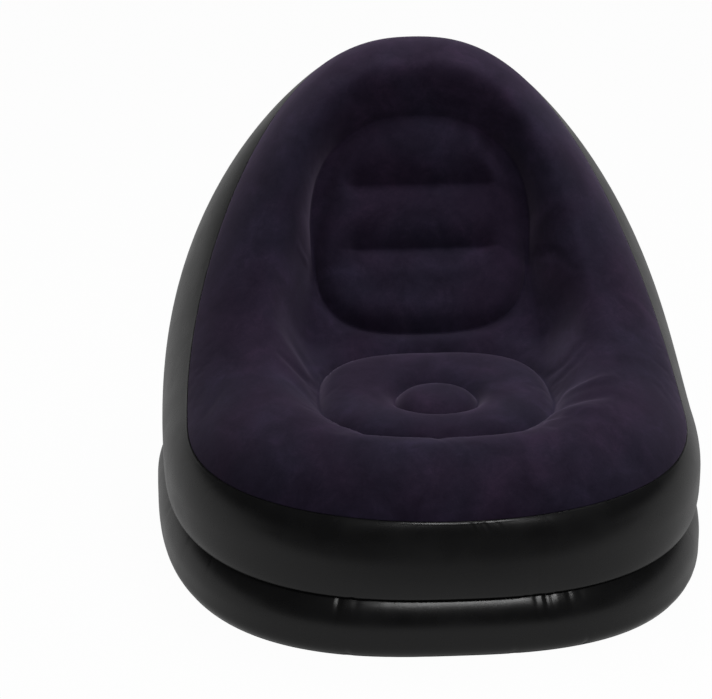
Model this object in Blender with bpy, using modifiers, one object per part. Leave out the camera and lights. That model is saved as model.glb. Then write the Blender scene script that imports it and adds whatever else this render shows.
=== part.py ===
import math
from bisect import bisect_right

import bmesh
import bpy
from mathutils import Vector
from mathutils.bvhtree import BVHTree
from mathutils.geometry import delaunay_2d_cdt

# Lengths are in metres: +Z is up, the chair faces -Y, and the origin is on the floor under its middle

# Sheets of the chair and the clearance between neighbouring pieces
PVC_SHEET = 0.0005
FLOCKED_SHEET = 0.0008
BEAM_SHEET = 0.0005
CLEARANCE = 0.0003
WELD_WIDTH = 0.008
OVERRUN = 0.001

# Base ring, seen from above as an egg that is widest a little behind the middle
BASE_HALF_WIDTH = 0.49
BASE_FRONT = -0.575
BASE_REAR = 0.50
BASE_WIDEST = 0.09
BASE_FRONT_POWER = 2.8
BASE_REAR_POWER = 2.35
BOTTOM_INSET = 0.035

# Waist between the base ring and the side wall
WAIST_HEIGHT = 0.105
WAIST_INSET = 0.022

# Seam between the side wall and the flocked top: low round the seat, steep up the back
SEAM_HALF_WIDTH = 0.435
SEAM_FRONT = -0.56
SEAM_REAR = 0.338
SEAM_WIDEST = -0.198
SEAM_FRONT_POWER = 2.05
SEAM_REAR_POWER = 2.43
SEAM_LOW = 0.248
SEAM_HIGH = 0.82
SEAM_RISE_POWER = 3.15

# Side wall: how far it swells past the line from waist to seam
BULGE_FRONT = 0.024
BULGE_SIDE = 0.028
BULGE_REAR = 0.171
GIRTH_SHARE = 0.45
UPPER_WALL_ARC = math.radians(62)

# Flocked top: the rolled edge stands over the seam, then falls to the seat and the backrest
CREST_FRONT = 0.030
CREST_SIDE = 0.075
CREST_REAR = 0.051
CREST_FRONT_SHARE = 0.26
CREST_SIDE_SHARE = 0.30
CREST_REAR_SHARE = 0.14
FLOOR_FRONT_SHARE = 0.42
FLOOR_REAR_SHARE = 0.26
FLOOR_FRONT_REACH = 0.27
FLOOR_REAR_REACH = 0.47
FLOOR_HALF_WIDTH = 0.205
FLOOR_POWER = 2.7
NARROW_SHARE = 0.04
CREST_POWER = 2.3
CENTRE_SHARE = 0.42

# Middle line of seat and backrest, in shares of the distance from the front seam to the rear seam
FLOOR_LINE_SHARES = (
    (0.0, 0.060),
    (0.109, 0.014),
    (0.137, -0.014),
    (0.177, -0.045),
    (0.231, -0.074),
    (0.326, -0.134),
    (0.421, -0.187),
    (0.475, -0.216),
    (0.510, -0.223),
    (0.563, -0.209),
    (0.662, -0.164),
    (0.756, -0.103),
    (0.799, -0.066),
    (0.841, -0.023),
    (0.883, 0.012),
    (0.917, 0.030),
    (1.0, 0.040),
)

# Weld lines in the flocked top, measured in the plane through the front and rear seam
SEAT_PLACE = 0.362
SEAT_HALF_WIDTH = 0.204
SEAT_HALF_LENGTH = 0.158
SEAT_FRONT_POWER = 2.2
SEAT_REAR_POWER = 2.8
HOLLOW_PLACE = 0.352
HOLLOW_HALF_WIDTH = 0.073
HOLLOW_HALF_LENGTH = 0.058
BACK_LOW = 0.561
BACK_HIGH = 0.894
BACK_HALF_WIDTH = 0.194
BACK_WIDEST_SHARE = 0.40
BACK_LOW_POWER = 2.8
BACK_HIGH_POWER = 2.6
RIB_HALF_LENGTH = 0.138
RIB_PLACES = (0.705, 0.803)
RIB_FOOT_SHARES = (0.56, 0.66)

# Pillows between the weld lines
GROOVE_DEPTH = 0.012
GROOVE_REACH = 0.048
SEAT_CROWN = 0.012
BACK_CROWN = 0.010
SHOULDER_CROWN = 0.004
RIB_DEPTH = 0.006
PILLOW_POWER = 2.2

# Mesh of the skins
AROUND = 54
BORDER_ROWS = (0.014, 0.044)
SLOPE_SHARES = (0.06, 0.5, 0.94)
GROOVE_ROW = 0.015
FILL_STEP = 0.052
FILL_SPARE_SHARE = 0.3
SEAT_POINTS = 26
HOLLOW_POINTS = 14
BACK_POINTS = 28
RIB_POINTS = 6
CROWN_POINTS = 18
CROWN_SPREAD_SHARE = 1.08
BEAM_FOLD_SHARE = 2.4
BEAM_FOOT_SHARE = 1.5
MERGE_SHARE = 0.001

# Vents in the waist diaphragm
VENT_RADIUS = 0.03
VENT_PLACE_SHARE = 0.72
VENTS = 4
VENT_POINTS = 16

# Valve in the rear wall, turned about an axis that points straight back
TURN_STEPS = 24
PATCH_RADIUS = 0.033
PATCH_SHEET = 0.0008
NECK_RADIUS = 0.014
NECK_WALL = 0.003
NECK_PROUD = 0.0032
NECK_DEPTH = 0.009
FLANGE_RADIUS = 0.024
FLANGE_SHEET = 0.0014
STOPPER_HEAD_RADIUS = 0.0155
STOPPER_HEAD = 0.0016
STOPPER_DEPTH = 0.0115
STOPPER_TAPER = 0.0006
PORT_RADIUS = 0.005
RIM_RADIUS = 0.0068
RIM_HEIGHT = 0.0012
CAP_RADIUS = 0.0082
CAP_SHEET = 0.0014
CAP_DOME = 0.0005
PLUG_DEPTH = 0.004
PLUG_TAPER = 0.0006
STRAP_WIDTH = 0.005
STRAP_LENGTH = 0.004
STRAP_SHEET = 0.0008
LUG_LENGTH = 0.003
FLAP_RADIUS = 0.0078
FLAP_SHEET = 0.0008

# The wall's rows: the two in the middle lie level with each other, so the valve has a flat place
VALVE_ROW_SHARE = 0.53
LOW_ROW_SHARES = (0.0, 0.12, 0.26)
HIGH_ROW_SHARES = (0.64, 0.76, 0.88, 1.0)
RING_ROW_SHARES = (0.0, 0.16, 0.34, 0.5, 0.66, 0.84, 1.0)
POWER_BLEND_SHARE = 0.25
SEAM_SAMPLES = 360
SLOPE_STEP = 0.002
SEARCH_SHARE = 0.000001


def clear_scene():
    for item in list(bpy.data.objects):
        bpy.data.objects.remove(item, do_unlink=True)


def new_collection(name, hidden=False):
    collection = bpy.data.collections.new(name)
    bpy.context.scene.collection.children.link(collection)
    collection.hide_render = hidden
    return collection


def new_material(name, colour, roughness, metallic=0.0, sheen=0.0):
    material = bpy.data.materials.new(name)
    material.use_nodes = True
    shader = material.node_tree.nodes["Principled BSDF"]
    shader.inputs["Base Color"].default_value = (*colour, 1.0)
    shader.inputs["Roughness"].default_value = roughness
    shader.inputs["Metallic"].default_value = metallic
    shader.inputs["Sheen Weight"].default_value = sheen
    material.diffuse_color = (*colour, 1.0)
    return material


# Outlines and curves


def signed_power(value, power):
    return math.copysign(abs(value) ** power, value)


def egg(angle, half_width, front_reach, rear_reach, front_power, rear_power):
    """A point on an egg outline: angle 0 is the front and a quarter turn is +X."""
    forward = math.cos(angle)
    share = (1 + math.tanh(forward / POWER_BLEND_SHARE)) / 2
    power = rear_power + (front_power - rear_power) * share
    reach = front_reach if forward > 0 else rear_reach
    across = half_width * signed_power(math.sin(angle), 2 / power)
    return across, -reach * signed_power(forward, 2 / power)


def blend_round(angle, front, side, rear):
    share = math.cos(angle) ** 2
    end = front if math.cos(angle) > 0 else rear
    return side + (end - side) * share


def smooth_step(value):
    value = min(1.0, max(0.0, value))
    return value * value * (3 - 2 * value)


def curve_value(points, place):
    """A smooth curve through points, read at a place along the first value."""
    places = [point[0] for point in points]
    place = min(max(place, places[0]), places[-1])
    index = min(bisect_right(places, place) - 1, len(points) - 2)

    def slope(knot):
        before = points[max(0, knot - 1)]
        after = points[min(len(points) - 1, knot + 1)]
        return (after[1] - before[1]) / (after[0] - before[0])

    span = places[index + 1] - places[index]
    share = (place - places[index]) / span
    square, cube = share**2, share**3
    return (
        (2 * cube - 3 * square + 1) * points[index][1]
        + (cube - 2 * square + share) * span * slope(index)
        + (3 * square - 2 * cube) * points[index + 1][1]
        + (cube - square) * span * slope(index + 1)
    )


# Side wall and base ring


def seam_point(angle):
    x, run = egg(
        angle,
        SEAM_HALF_WIDTH,
        SEAM_WIDEST - SEAM_FRONT,
        SEAM_REAR - SEAM_WIDEST,
        SEAM_FRONT_POWER,
        SEAM_REAR_POWER,
    )
    y = SEAM_WIDEST + run
    share = min(1.0, max(0.0, (y - SEAM_FRONT) / (SEAM_REAR - SEAM_FRONT)))
    return Vector((x, y, SEAM_LOW + (SEAM_HIGH - SEAM_LOW) * share**SEAM_RISE_POWER))


def base_point(angle, inset, height):
    x, run = egg(
        angle,
        BASE_HALF_WIDTH - inset,
        BASE_WIDEST - BASE_FRONT - inset,
        BASE_REAR - BASE_WIDEST - inset,
        BASE_FRONT_POWER,
        BASE_REAR_POWER,
    )
    return Vector((x, BASE_WIDEST + run, height))


def wall_point(angle, share):
    """A point of the side wall's outer face, from the waist at share 0 to the seam at share 1."""
    seam = seam_point(angle) - SEAM_NORMAL * CLEARANCE / 2
    waist = base_point(angle, WAIST_INSET, WAIST_HEIGHT + PVC_SHEET / 2 + CLEARANCE)
    middle = (seam + waist) / 2
    outward = Vector((middle.x, middle.y - BASE_WIDEST, 0)).normalized()
    girth = middle + outward * blend_round(angle, BULGE_FRONT, BULGE_SIDE, BULGE_REAR)
    girth.z = waist.z + (seam.z - waist.z) * GIRTH_SHARE
    if share < GIRTH_SHARE:
        turn = share / GIRTH_SHARE * math.pi / 2
        point = waist + (girth - waist) * math.sin(turn)
        point.z = waist.z + (girth.z - waist.z) * (1 - math.cos(turn))
        return point
    turn = (share - GIRTH_SHARE) / (1 - GIRTH_SHARE) * UPPER_WALL_ARC
    floor = math.cos(UPPER_WALL_ARC)
    point = seam + (girth - seam) * (math.cos(turn) - floor) / (1 - floor)
    point.z = girth.z + (seam.z - girth.z) * math.sin(turn) / math.sin(UPPER_WALL_ARC)
    return point


def ring_point(angle, share):
    """A point of the base ring's outer face, from the floor at share 0 to the waist at share 1."""
    turn = math.pi * share
    deepest = BOTTOM_INSET if share < 0.5 else WAIST_INSET
    low = PVC_SHEET + CLEARANCE
    high = WAIST_HEIGHT - PVC_SHEET / 2 - CLEARANCE
    height = low + (high - low) * (1 - math.cos(turn)) / 2
    return base_point(angle, deepest * (1 - math.sin(turn)), height)


def angles():
    """Half a step off the middle, so that one flat facet faces straight back."""
    return [(step + 0.5) * 2 * math.pi / AROUND for step in range(AROUND)]


def level_row_share():
    """The share under the girth where the rear wall is as far back as at the valve's upper row."""
    angle = angles()[AROUND // 2]
    far = wall_point(angle, VALVE_ROW_SHARE).y
    low, high = 0.0, GIRTH_SHARE
    while high - low > SEARCH_SHARE:
        middle = (low + high) / 2
        low, high = (middle, high) if wall_point(angle, middle).y < far else (low, middle)
    return (low + high) / 2


# Flocked top, as a height over the plane through the front and rear seam

SEAM_RUN = SEAM_REAR - SEAM_FRONT
SEAM_CLIMB = SEAM_HIGH - SEAM_LOW
SEAM_LENGTH = math.hypot(SEAM_RUN, SEAM_CLIMB)
SEAM_ALONG = Vector((0, SEAM_RUN, SEAM_CLIMB)) / SEAM_LENGTH
SEAM_NORMAL = Vector((0, -SEAM_CLIMB, SEAM_RUN)) / SEAM_LENGTH
SEAM_START = Vector((0, SEAM_FRONT, SEAM_LOW))
CENTRE = SEAM_LENGTH * CENTRE_SHARE


def plane_place(point):
    offset = point - SEAM_START
    return offset.x, offset.dot(SEAM_ALONG), offset.dot(SEAM_NORMAL)


def from_plane(across, along, height):
    return SEAM_START + Vector((across, 0, 0)) + SEAM_ALONG * along + SEAM_NORMAL * height


def seam_table():
    """The seam as (bearing from the centre, distance, height over the plane, angle), by bearing."""
    rows = []
    for step in range(SEAM_SAMPLES):
        angle = -math.pi + (step + 0.5) * 2 * math.pi / SEAM_SAMPLES
        across, along, height = plane_place(seam_point(angle))
        bearing = math.atan2(across, CENTRE - along)
        rows.append((bearing, math.hypot(across, along - CENTRE), height, angle))
    turn = 2 * math.pi
    first, last = rows[0], rows[-1]
    before = (last[0] - turn, last[1], last[2], last[3] - turn)
    after = (first[0] + turn, first[1], first[2], first[3] + turn)
    return [before, *rows, after]


SEAM_TABLE = seam_table()
SEAM_BEARINGS = [row[0] for row in SEAM_TABLE]


def seam_at(bearing):
    index = bisect_right(SEAM_BEARINGS, bearing) - 1
    index = min(max(index, 0), len(SEAM_TABLE) - 2)
    low, high = SEAM_TABLE[index], SEAM_TABLE[index + 1]
    share = (bearing - low[0]) / (high[0] - low[0])
    return [start + (end - start) * share for start, end in zip(low[1:], high[1:])]


def edge_height(inward, edge, crest):
    """The rolled edge: it stands up from the seam and is level at its crest."""
    return crest * (1 - (1 - min(1.0, inward / edge)) ** CREST_POWER)


def middle_height(along):
    """Height along the middle of the chair: edge, seat, backrest and edge again."""
    ahead = along < CENTRE
    reach = CENTRE if ahead else SEAM_LENGTH - CENTRE
    crest = CREST_FRONT if ahead else CREST_REAR
    edge = CREST_FRONT_SHARE if ahead else CREST_REAR_SHARE
    flat = FLOOR_FRONT_SHARE if ahead else FLOOR_REAR_SHARE
    inward = max(0.0, 1 - abs(along - CENTRE) / reach)
    high = edge_height(inward, edge, crest)
    floor = curve_value(FLOOR_LINE_SHARES, along / SEAM_LENGTH) * SEAM_LENGTH
    return high + (floor - high) * smooth_step((inward - edge) / (flat - edge))


def floor_reach(bearing):
    """Distance from the centre to where the floor of seat and backrest starts to rise at its sides."""
    ahead = math.cos(bearing) > 0
    length = FLOOR_FRONT_REACH if ahead else FLOOR_REAR_REACH
    across = abs(math.sin(bearing) / FLOOR_HALF_WIDTH) ** FLOOR_POWER
    along = abs(math.cos(bearing) / length) ** FLOOR_POWER
    return (across + along) ** (-1 / FLOOR_POWER)


def base_height(across, along):
    """Height of the top before its pillows and grooves."""
    bearing = math.atan2(across, CENTRE - along)
    reach, seam_height, angle = seam_at(bearing)
    inward = max(0.0, 1 - math.hypot(across, along - CENTRE) / reach)
    crest = blend_round(angle, CREST_FRONT, CREST_SIDE, CREST_REAR)
    edge = blend_round(angle, CREST_FRONT_SHARE, CREST_SIDE_SHARE, CREST_REAR_SHARE)
    flat = 1 - floor_reach(bearing) / reach
    high = seam_height + edge_height(inward, edge, crest)
    share = smooth_step((inward - edge) / max(flat - edge, NARROW_SHARE))
    return high + (middle_height(along) - high) * share


def base_normal(across, along):
    step = SLOPE_STEP
    rise_across = (base_height(across + step, along) - base_height(across - step, along)) / (2 * step)
    rise_along = (base_height(across, along + step) - base_height(across, along - step)) / (2 * step)
    normal = SEAM_NORMAL - Vector((rise_across, 0, 0)) - SEAM_ALONG * rise_along
    return normal.normalized()


def loop_points(count, place, half_width, front_reach, rear_reach, front_power, rear_power, grow=0.0):
    points = []
    for step in range(count):
        angle = (step + 0.5) * 2 * math.pi / count
        across, run = egg(
            angle, half_width + grow, front_reach + grow, rear_reach + grow, front_power, rear_power
        )
        points.append((across, place + run))
    return points


def seat_loop(grow=0.0):
    reach = SEAT_HALF_LENGTH
    powers = SEAT_FRONT_POWER, SEAT_REAR_POWER
    return loop_points(SEAT_POINTS, SEAT_PLACE, SEAT_HALF_WIDTH, reach, reach, *powers, grow)


def hollow_loop(grow=0.0):
    reach = HOLLOW_HALF_LENGTH
    return loop_points(HOLLOW_POINTS, HOLLOW_PLACE, HOLLOW_HALF_WIDTH, reach, reach, 2, 2, grow)


def back_loop(grow=0.0):
    low = (BACK_HIGH - BACK_LOW) * BACK_WIDEST_SHARE
    high = BACK_HIGH - BACK_LOW - low
    powers = BACK_LOW_POWER, BACK_HIGH_POWER
    return loop_points(BACK_POINTS, BACK_LOW + low, BACK_HALF_WIDTH, low, high, *powers, grow)


def rib_line(place, side=0.0):
    steps = range(RIB_POINTS)
    share = [step / (RIB_POINTS - 1) * 2 - 1 for step in steps]
    return [(RIB_HALF_LENGTH * value, place + side) for value in share]


def crown_places():
    """Places along the tops of the pillows inside the weld lines."""
    lines = [BACK_LOW, *RIB_PLACES, BACK_HIGH]
    places = [(0.0, HOLLOW_PLACE)]
    for low, high in zip(lines, lines[1:]):
        crown = [(across * CROWN_SPREAD_SHARE, along) for across, along in rib_line((low + high) / 2)]
        places += [place for place in crown if inside(place, BACK_LINE) and clear_of_lines(place)]
    width = (SEAT_HALF_WIDTH + HOLLOW_HALF_WIDTH) / 2
    length = (SEAT_HALF_LENGTH + HOLLOW_HALF_LENGTH) / 2
    powers = SEAT_FRONT_POWER, SEAT_REAR_POWER
    place = (SEAT_PLACE + HOLLOW_PLACE) / 2
    return places + loop_points(CROWN_POINTS, place, width, length, length, *powers)


def line_distance(point, line, closed=True):
    """Distance from a point to a chain of straight runs."""
    ends = list(zip(line, line[1:] + line[:1])) if closed else list(zip(line, line[1:]))
    nearest = SEAM_LENGTH
    for start, end in ends:
        run = (end[0] - start[0], end[1] - start[1])
        offset = (point[0] - start[0], point[1] - start[1])
        share = (offset[0] * run[0] + offset[1] * run[1]) / (run[0] ** 2 + run[1] ** 2)
        share = min(1.0, max(0.0, share))
        gap = math.hypot(offset[0] - run[0] * share, offset[1] - run[1] * share)
        nearest = min(nearest, gap)
    return nearest


def inside(point, loop):
    """True where a point lies inside a closed loop."""
    crossings = 0
    for start, end in zip(loop, loop[1:] + loop[:1]):
        if (start[1] > point[1]) != (end[1] > point[1]):
            share = (point[1] - start[1]) / (end[1] - start[1])
            crossings += start[0] + (end[0] - start[0]) * share > point[0]
    return crossings % 2 == 1


def pillow_side(gap, depth, crown):
    """Height of a pillow at a distance from the weld line that holds it down."""
    rise = 1 - (1 - min(1.0, gap / GROOVE_REACH)) ** PILLOW_POWER
    return (depth + crown) * rise - depth


def pillow_height(point):
    """How far the air pushes the top out between its weld lines, and the welds pull it in."""
    gap = min(line_distance(point, line) for line in (SEAT_LINE, HOLLOW_LINE, BACK_LINE))
    if inside(point, BACK_LINE):
        rib_gap = min(line_distance(point, line, closed=False) for line in RIB_LINES)
        rib_side = pillow_side(rib_gap, RIB_DEPTH, BACK_CROWN)
        return min(rib_side, pillow_side(gap, GROOVE_DEPTH, BACK_CROWN))
    if inside(point, SEAT_LINE):
        return pillow_side(gap, GROOVE_DEPTH, SEAT_CROWN)
    fade = 1 - smooth_step(gap / GROOVE_REACH - 1)
    return pillow_side(gap, GROOVE_DEPTH, SHOULDER_CROWN * fade)


SEAT_LINE = seat_loop()
HOLLOW_LINE = hollow_loop()
BACK_LINE = back_loop()
RIB_LINES = [rib_line(place) for place in RIB_PLACES]


def top_point(across, along):
    point = from_plane(across, along, base_height(across, along))
    return point + base_normal(across, along) * pillow_height((across, along))


# Building blocks


def add_mesh(name, collection, material, points, faces, edges=()):
    mesh = bpy.data.meshes.new(name)
    mesh.from_pydata([tuple(point) for point in points], list(edges), faces)
    mesh.materials.append(material)
    mesh.shade_smooth()
    item = bpy.data.objects.new(name, mesh)
    collection.objects.link(item)
    return item


def add_sheet(item, thickness, offset=-1.0):
    shell = item.modifiers.new("Sheet", "SOLIDIFY")
    shell.thickness = thickness
    shell.offset = offset
    shell.use_even_offset = True
    return shell


def ring_faces(rows, around):
    """Triangles between rows that each run once round the chair, the left half mirroring the right."""
    faces = []
    for row in range(rows - 1):
        for step in range(around):
            after = (step + 1) % around
            low, high = row * around, (row + 1) * around
            corners = (low + step, low + after, high + after, high + step)
            first = 0 if step < around // 2 else 1
            faces.append(tuple(corners[(first + turn) % 4] for turn in (0, 1, 2)))
            faces.append(tuple(corners[(first + turn) % 4] for turn in (0, 2, 3)))
    return faces


def flange(points, centre):
    """Points moved inward by the width of a weld, level with where they were."""
    moved = []
    for point in points:
        inward = Vector((centre[0] - point.x, centre[1] - point.y, 0)).normalized()
        moved.append(point + inward * WELD_WIDTH)
    return moved


def seam_flange(points, height):
    """Points moved inward in the plane of the seam, then to a height over where they were."""
    moved = []
    for point in points:
        across, along, level = plane_place(point)
        reach = math.hypot(across, along - CENTRE)
        share = 1 - WELD_WIDTH / reach
        moved.append(from_plane(across * share, CENTRE + (along - CENTRE) * share, level + height))
    return moved


def build_wall(collection, material):
    shares = (*LOW_ROW_SHARES, level_row_share(), VALVE_ROW_SHARE, *HIGH_ROW_SHARES)
    rows = [[wall_point(angle, share) for angle in angles()] for share in shares]
    rows.insert(0, flange(rows[0], (0, BASE_WIDEST)))
    rows.append(seam_flange(rows[-1], 0))
    points = [point for row in rows for point in row]
    wall = add_mesh("side_wall_skin", collection, material, points, ring_faces(len(rows), AROUND))
    add_sheet(wall, PVC_SHEET)
    return wall, shares


def build_ring(collection, material):
    rows = [[ring_point(angle, share) for angle in angles()] for share in RING_ROW_SHARES]
    rows.insert(0, flange(rows[0], (0, BASE_WIDEST)))
    rows.append(flange(rows[-1], (0, BASE_WIDEST)))
    points = [point for row in rows for point in row]
    ring = add_mesh("base_ring_skin", collection, material, points, ring_faces(len(rows), AROUND))
    add_sheet(ring, PVC_SHEET)


def build_flat_sheet(name, collection, material, outline, holes, height):
    """A flat sheet of PVC with round holes, its lower face at a height."""
    curve = bpy.data.curves.new(name, "CURVE")
    curve.dimensions = "2D"
    curve.fill_mode = "BOTH"
    curve.extrude = PVC_SHEET / 2
    for loop in [outline, *holes]:
        spline = curve.splines.new("POLY")
        spline.points.add(len(loop) - 1)
        for knot, place in zip(spline.points, loop):
            knot.co = (place[0], place[1], 0, 1)
        spline.use_cyclic_u = True
    curve.materials.append(material)
    item = bpy.data.objects.new(name, curve)
    item.location.z = height + PVC_SHEET / 2
    collection.objects.link(item)


def circle(centre, radius, count):
    turns = [step * 2 * math.pi / count for step in range(count)]
    return [(centre[0] + radius * math.cos(turn), centre[1] + radius * math.sin(turn)) for turn in turns]


def build_diaphragm(collection, material):
    outline = [base_point(angle, WAIST_INSET + CLEARANCE, 0) for angle in angles()]
    middle = Vector((0, BASE_WIDEST, 0))
    holes = []
    for step in range(VENTS):
        edge = base_point((step + 0.5) * 2 * math.pi / VENTS, WAIST_INSET, 0)
        centre = middle + (edge - middle) * VENT_PLACE_SHARE
        holes.append(circle(centre, VENT_RADIUS, VENT_POINTS))
    height = WAIST_HEIGHT - PVC_SHEET / 2
    build_flat_sheet("waist_diaphragm", collection, material, outline, holes, height)


def build_bottom(collection, material):
    outline = [base_point(angle, BOTTOM_INSET, 0) for angle in angles()]
    build_flat_sheet("bottom_sheet", collection, material, outline, [], 0)


def border_place(point, depth):
    across, along, _ = plane_place(point)
    share = 1 - depth / math.hypot(across, along - CENTRE)
    return across * share, CENTRE + (along - CENTRE) * share


def clear_of_lines(place):
    lines = [(SEAT_LINE, True), (HOLLOW_LINE, True), (BACK_LINE, True)]
    lines += [(line, False) for line in RIB_LINES]
    gap = min(line_distance(place, line, closed) for line, closed in lines)
    return gap > GROOVE_ROW + FILL_STEP * FILL_SPARE_SHARE


def beside_loops(place):
    return not inside(place, SEAT_LINE) and not inside(place, BACK_LINE)


def slope_places():
    """Places down the slope from the crest of the edge to the floor."""
    places = []
    for angle in angles():
        seam = seam_point(angle)
        across, along, _ = plane_place(seam)
        reach = math.hypot(across, along - CENTRE)
        edge = blend_round(angle, CREST_FRONT_SHARE, CREST_SIDE_SHARE, CREST_REAR_SHARE)
        foot = 1 - floor_reach(math.atan2(across, CENTRE - along)) / reach
        fall = max(foot - edge, NARROW_SHARE)
        places += [border_place(seam, (edge + fall * share) * reach) for share in SLOPE_SHARES]
    return places


def clear_of_slope(place):
    floor = floor_reach(math.atan2(place[0], CENTRE - place[1]))
    return math.hypot(place[0], place[1] - CENTRE) < floor - FILL_STEP * FILL_SPARE_SHARE


def fill_places():
    """A staggered grid of places on the floor between the weld lines."""
    places = []
    rise = FILL_STEP * math.sqrt(3) / 2
    for row in range(int(SEAM_LENGTH / rise)):
        shift = FILL_STEP / 2 if row % 2 else 0
        for step in range(-int(SEAM_HALF_WIDTH / FILL_STEP) - 1, int(SEAM_HALF_WIDTH / FILL_STEP) + 2):
            place = (step * FILL_STEP + shift, (row + 0.5) * rise)
            if clear_of_slope(place) and clear_of_lines(place) and beside_loops(place):
                places.append(place)
    return places


def build_top(collection, material):
    """The flocked sheet: triangles over the seam's plane that keep each weld line as an edge."""
    seam = [seam_point(angle) + SEAM_NORMAL * CLEARANCE / 2 for angle in angles()]
    loops = [[plane_place(point)[:2] for point in seam]]
    for build in (seat_loop, hollow_loop, back_loop):
        loops += [build(grow) for grow in (-GROOVE_ROW, 0.0, GROOVE_ROW)]
    lines = [rib_line(place, side) for place in RIB_PLACES for side in (-GROOVE_ROW, 0.0, GROOVE_ROW)]
    loose = [border_place(point, depth) for depth in BORDER_ROWS for point in seam] + slope_places()
    loose = [place for place in loose if clear_of_lines(place) and beside_loops(place)]
    loose += fill_places() + crown_places()

    places, edges = [], []
    for chain, closed in [(loop, True) for loop in loops] + [(line, False) for line in lines]:
        first, count = len(places), len(chain)
        places += chain
        last = count if closed else count - 1
        edges += [(first + step, first + (step + 1) % count) for step in range(last)]
    places += loose
    merge = CLEARANCE * MERGE_SHARE
    found, _, faces, origins, _, _ = delaunay_2d_cdt([Vector(p) for p in places], edges, [], 1, merge)

    points = []
    for place, origin in zip(found, origins):
        rim = [index for index in origin if index < AROUND]
        points.append(seam[rim[0]] if rim else top_point(place.x, place.y))
    rims = {index: row for row, origin in enumerate(origins) for index in origin if index < AROUND}
    first = len(points)
    points += seam_flange(seam, 0)
    faces = [tuple(face) for face in faces]
    for step in range(AROUND):
        after = (step + 1) % AROUND
        faces.append((rims[after], rims[step], first + step, first + after))
    top = add_mesh("flocked_top_skin", collection, material, points, faces)
    add_sheet(top, FLOCKED_SHEET)


# Beams: strips that tie the weld lines to the sheet behind them


def beam_heads(line):
    """The strip's edge under a weld line, a clearance below the folded sheet."""
    drop = FLOCKED_SHEET * BEAM_FOLD_SHARE + CLEARANCE
    return [top_point(*place) - base_normal(*place) * drop for place in line]


def build_beam(name, collection, material, heads, feet):
    count = len(heads)
    faces = [(step, step + 1, count + step + 1, count + step) for step in range(count - 1)]
    beam = add_mesh(name, collection, material, heads + feet, faces)
    add_sheet(beam, BEAM_SHEET, 0.0)


def build_seat_beams(collection, material):
    """Open loops, so that air passes their ends, from the seat down to the waist diaphragm."""
    foot = WAIST_HEIGHT + PVC_SHEET / 2 + CLEARANCE
    for name, line in (("seat_loop_beam", SEAT_LINE), ("seat_centre_beam", HOLLOW_LINE)):
        heads = beam_heads(line)
        feet = [Vector((head.x, head.y, foot)) for head in heads]
        build_beam(name, collection, material, heads, feet)


def build_back_beams(collection, material, wall_tree):
    """The loop's strip runs straight back, and each rib's strip to its own level of the wall."""
    names = ("backrest_loop_beam", "backrest_rib_beam_lower", "backrest_rib_beam_upper")
    back = Vector((0, 1, 0))
    stop = (PVC_SHEET + CLEARANCE) * BEAM_FOOT_SHARE
    for name, line, foot in zip(names, (BACK_LINE, *RIB_LINES), (None, *RIB_FOOT_SHARES)):
        heads = beam_heads(line)
        run = back
        if foot is not None:
            middle = (heads[0] + heads[-1]) / 2
            aim = wall_point(angles()[AROUND // 2], foot) - middle
            run = Vector((0, aim.y, aim.z)).normalized()
        feet = [wall_tree.ray_cast(head, run)[0] - run * stop for head in heads]
        build_beam(name, collection, material, heads, feet)


# Valve


def turned(name, collection, material, profile, centre, closed=True):
    """A profile of (radius, distance behind the wall) turned about the valve's axis."""
    count = len(profile)
    edges = [(step, (step + 1) % count) for step in range(count if closed else count - 1)]
    points = [(radius, 0, out) for radius, out in profile]
    item = add_mesh(name, collection, material, points, [], edges)
    item.location = centre
    item.rotation_euler.x = -math.pi / 2
    screw = item.modifiers.new("Turn", "SCREW")
    screw.steps = TURN_STEPS
    screw.render_steps = TURN_STEPS
    screw.use_merge_vertices = not closed
    screw.merge_threshold = CLEARANCE * MERGE_SHARE
    return item


def neck_bore():
    return NECK_RADIUS - NECK_WALL


def valve_levels():
    """Distances behind the wall's outer face."""
    seat = NECK_PROUD + CLEARANCE
    head = seat + STOPPER_HEAD
    rim = head + RIM_HEIGHT
    return seat, head, rim


def build_patch(collection, material, centre):
    inner = NECK_RADIUS + CLEARANCE
    low, high = CLEARANCE, CLEARANCE + PATCH_SHEET
    profile = [(inner, high), (PATCH_RADIUS, high), (PATCH_RADIUS, low), (inner, low)]
    turned("valve_patch", collection, material, profile, centre)


def build_seat(collection, material, centre):
    bore = neck_bore()
    top = -PVC_SHEET - CLEARANCE
    low = top - FLANGE_SHEET
    profile = [
        (bore, NECK_PROUD),
        (NECK_RADIUS, NECK_PROUD),
        (NECK_RADIUS, top),
        (FLANGE_RADIUS, top),
        (FLANGE_RADIUS, low),
        (NECK_RADIUS, low),
        (NECK_RADIUS, -NECK_DEPTH),
        (bore, -NECK_DEPTH),
    ]
    turned("valve_seat", collection, material, profile, centre)


def join_block(item, cutters, name, size, middle):
    """Joins a small block to a piece of the valve."""
    block = bmesh.new()
    bmesh.ops.create_cube(block, size=1)
    bmesh.ops.scale(block, vec=size, verts=block.verts)
    bmesh.ops.translate(block, vec=middle, verts=block.verts)
    mesh = bpy.data.meshes.new(name)
    block.to_mesh(mesh)
    block.free()
    helper = bpy.data.objects.new(name, mesh)
    helper.hide_render = True
    helper.display_type = "WIRE"
    cutters.objects.link(helper)
    union = item.modifiers.new("Block", "BOOLEAN")
    union.operation = "UNION"
    union.object = helper


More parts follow.
